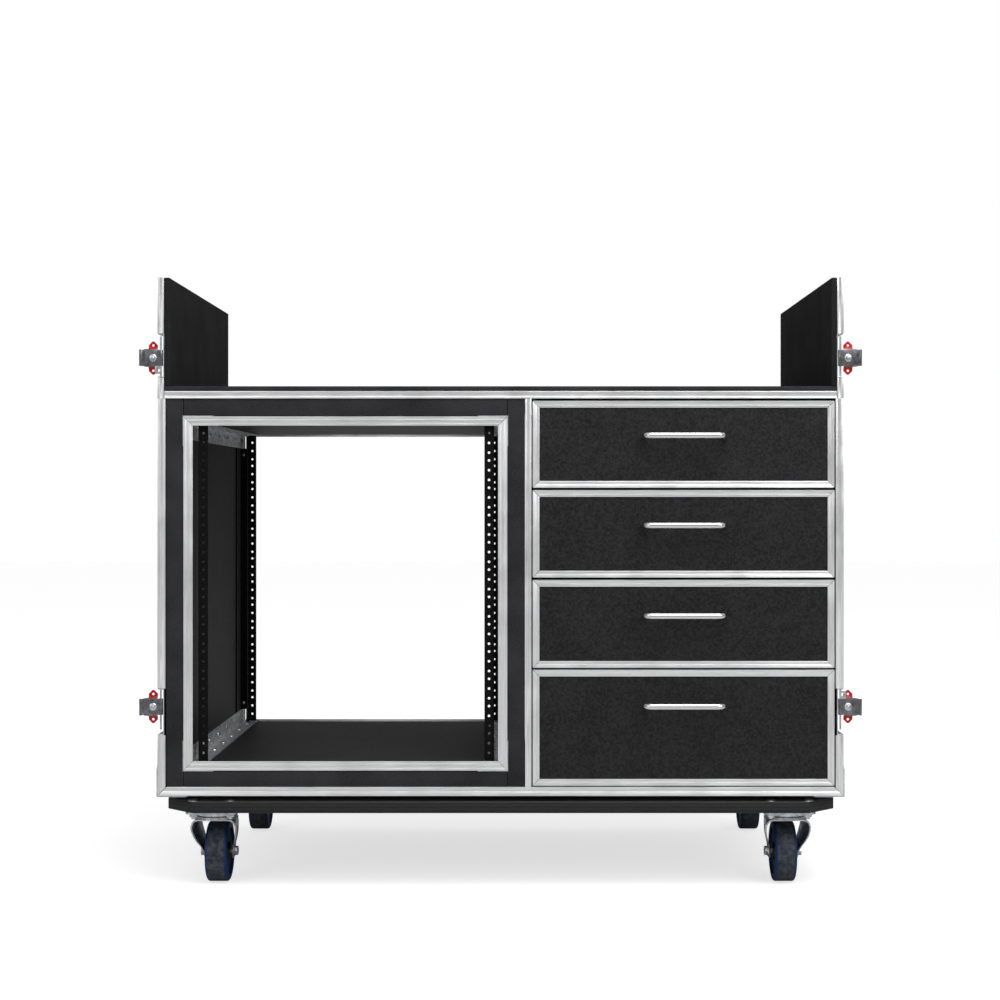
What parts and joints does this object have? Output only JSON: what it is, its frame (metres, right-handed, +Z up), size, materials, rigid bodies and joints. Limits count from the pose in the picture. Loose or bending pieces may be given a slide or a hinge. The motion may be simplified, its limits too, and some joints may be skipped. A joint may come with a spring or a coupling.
{
  "type": "mixer flight case",
  "caption": "Rolling flight case with a foam-lined mixer well on top, a foam-hung rack bay beside a bank of drawers, and swivel castors.",
  "frame": {"origin": "on the floor under the middle of the overall box, castors down", "axes": "+Z up, -Y towards the open front with the drawers and the rack, +X to the right seen from the front"},
  "size_m": [1.1704, 0.666, 0.996],
  "materials": {
    "laminated_ply": "black pebble-grain laminate on plywood",
    "board_ply": "black stained phenolic plywood, plies seen at the edge",
    "aluminium_edge": "extruded, satin",
    "black_foam": "closed-cell black foam",
    "zinc_steel": "bright zinc plate",
    "black_steel": "black powder coat",
    "stainless_rod": "polished stainless rod",
    "red_paint": "red paint on pressed steel",
    "wheel_tyre": "dark blue elastic tread on a black hub"
  },
  "bodies": {
    "case": {"side_panel_left": "laminated_ply", "side_panel_right": "laminated_ply", "table_top": "laminated_ply", "bottom_panel": "laminated_ply", "centre_divider": "laminated_ply", "rack_sleeve": "laminated_ply", "castor_board": "board_ply", "edge_trim_left": "aluminium_edge", "edge_trim_right": "aluminium_edge", "latch_trim_left": "aluminium_edge", "latch_trim_right": "aluminium_edge", "table_front_rail": "aluminium_edge", "table_rear_rail": "aluminium_edge", "bottom_front_rail": "aluminium_edge", "bottom_rear_rail": "aluminium_edge", "divider_trim": "aluminium_edge", "sleeve_edging_front": "aluminium_edge", "sleeve_edging_rear": "aluminium_edge", "well_lining": "black_foam", "rack_foam": "black_foam", "latch_dish_lower_left": "zinc_steel", "latch_dish_upper_left": "zinc_steel", "latch_dish_lower_right": "zinc_steel", "latch_dish_upper_right": "zinc_steel", "mount_angle_lower_left": "zinc_steel", "mount_angle_upper_left": "zinc_steel", "mount_angle_lower_right": "zinc_steel", "mount_angle_upper_right": "zinc_steel", "rack_rail_front_left": "black_steel", "rack_rail_rear_left": "black_steel", "rack_rail_front_right": "black_steel", "rack_rail_rear_right": "black_steel"},
    "drawer_1": {"drawer_1_box": "laminated_ply", "drawer_1_edging": "aluminium_edge", "drawer_1_handle": "stainless_rod"},
    "drawer_2": {"drawer_2_box": "laminated_ply", "drawer_2_edging": "aluminium_edge", "drawer_2_handle": "stainless_rod"},
    "drawer_3": {"drawer_3_box": "laminated_ply", "drawer_3_edging": "aluminium_edge", "drawer_3_handle": "stainless_rod"},
    "drawer_4": {"drawer_4_box": "laminated_ply", "drawer_4_edging": "aluminium_edge", "drawer_4_handle": "stainless_rod"},
    "castor_front_left": {"castor_fork_front_left": "zinc_steel"},
    "wheel_front_left": {"castor_wheel_front_left": "wheel_tyre"},
    "castor_front_right": {"castor_fork_front_right": "zinc_steel"},
    "wheel_front_right": {"castor_wheel_front_right": "wheel_tyre"},
    "castor_rear_left": {"castor_fork_rear_left": "zinc_steel"},
    "wheel_rear_left": {"castor_wheel_rear_left": "wheel_tyre"},
    "castor_rear_right": {"castor_fork_rear_right": "zinc_steel"},
    "wheel_rear_right": {"castor_wheel_rear_right": "wheel_tyre"},
    "latch_lower_left": {"latch_arm_lower_left": "zinc_steel"},
    "butterfly_lower_left": {"latch_butterfly_lower_left": "red_paint"},
    "latch_lower_right": {"latch_arm_lower_right": "zinc_steel"},
    "butterfly_lower_right": {"latch_butterfly_lower_right": "red_paint"},
    "latch_upper_left": {"latch_arm_upper_left": "zinc_steel"},
    "butterfly_upper_left": {"latch_butterfly_upper_left": "red_paint"},
    "latch_upper_right": {"latch_arm_upper_right": "zinc_steel"},
    "butterfly_upper_right": {"latch_butterfly_upper_right": "red_paint"}
  },
  "joints": [
    {"name": "drawer_1_slide", "type": "slide", "parent": "case", "child": "drawer_1", "axis": [0, -1, 0], "range_m": [0, 0.45]},
    {"name": "drawer_2_slide", "type": "slide", "parent": "case", "child": "drawer_2", "axis": [0, -1, 0], "range_m": [0, 0.45]},
    {"name": "drawer_3_slide", "type": "slide", "parent": "case", "child": "drawer_3", "axis": [0, -1, 0], "range_m": [0, 0.45]},
    {"name": "drawer_4_slide", "type": "slide", "parent": "case", "child": "drawer_4", "axis": [0, -1, 0], "range_m": [0, 0.45]},
    {"name": "castor_front_left_swivel", "type": "hinge", "parent": "case", "child": "castor_front_left", "pos_m": [-0.47, -0.243, 0.115], "axis": [0, 0, 1], "continuous": true},
    {"name": "wheel_front_left_spin", "type": "hinge", "parent": "castor_front_left", "child": "wheel_front_left", "pos_m": [-0.47, -0.205, 0.05], "axis": [1, 0, 0], "continuous": true},
    {"name": "castor_front_right_swivel", "type": "hinge", "parent": "case", "child": "castor_front_right", "pos_m": [0.47, -0.243, 0.115], "axis": [0, 0, 1], "continuous": true},
    {"name": "wheel_front_right_spin", "type": "hinge", "parent": "castor_front_right", "child": "wheel_front_right", "pos_m": [0.47, -0.205, 0.05], "axis": [1, 0, 0], "continuous": true},
    {"name": "castor_rear_left_swivel", "type": "hinge", "parent": "case", "child": "castor_rear_left", "pos_m": [-0.47, 0.245, 0.115], "axis": [0, 0, 1], "continuous": true},
    {"name": "wheel_rear_left_spin", "type": "hinge", "parent": "castor_rear_left", "child": "wheel_rear_left", "pos_m": [-0.47, 0.283, 0.05], "axis": [1, 0, 0], "continuous": true},
    {"name": "castor_rear_right_swivel", "type": "hinge", "parent": "case", "child": "castor_rear_right", "pos_m": [0.47, 0.245, 0.115], "axis": [0, 0, 1], "continuous": true},
    {"name": "wheel_rear_right_spin", "type": "hinge", "parent": "castor_rear_right", "child": "wheel_rear_right", "pos_m": [0.47, 0.283, 0.05], "axis": [1, 0, 0], "continuous": true},
    {"name": "latch_lower_left_swing", "type": "hinge", "parent": "case", "child": "latch_lower_left", "pos_m": [-0.5515, -0.293, 0.3], "axis": [0, 0, 1], "range_deg": [0, 90]},
    {"name": "butterfly_lower_left_turn", "type": "hinge", "parent": "latch_lower_left", "child": "butterfly_lower_left", "pos_m": [-0.564, -0.2939, 0.3], "axis": [0, 1, 0], "range_deg": [-10, 10]},
    {"name": "latch_lower_right_swing", "type": "hinge", "parent": "case", "child": "latch_lower_right", "pos_m": [0.5515, -0.293, 0.3], "axis": [0, 0, -1], "range_deg": [0, 90]},
    {"name": "butterfly_lower_right_turn", "type": "hinge", "parent": "latch_lower_right", "child": "butterfly_lower_right", "pos_m": [0.564, -0.2939, 0.3], "axis": [0, 1, 0], "range_deg": [-10, 10]},
    {"name": "latch_upper_left_swing", "type": "hinge", "parent": "case", "child": "latch_upper_left", "pos_m": [-0.5515, -0.293, 0.866], "axis": [0, 0, 1], "range_deg": [0, 90]},
    {"name": "butterfly_upper_left_turn", "type": "hinge", "parent": "latch_upper_left", "child": "butterfly_upper_left", "pos_m": [-0.564, -0.2939, 0.866], "axis": [0, 1, 0], "range_deg": [-10, 10]},
    {"name": "latch_upper_right_swing", "type": "hinge", "parent": "case", "child": "latch_upper_right", "pos_m": [0.5515, -0.293, 0.866], "axis": [0, 0, -1], "range_deg": [0, 90]},
    {"name": "butterfly_upper_right_turn", "type": "hinge", "parent": "latch_upper_right", "child": "butterfly_upper_right", "pos_m": [0.564, -0.2939, 0.866], "axis": [0, 1, 0], "range_deg": [-10, 10]}
  ]
}
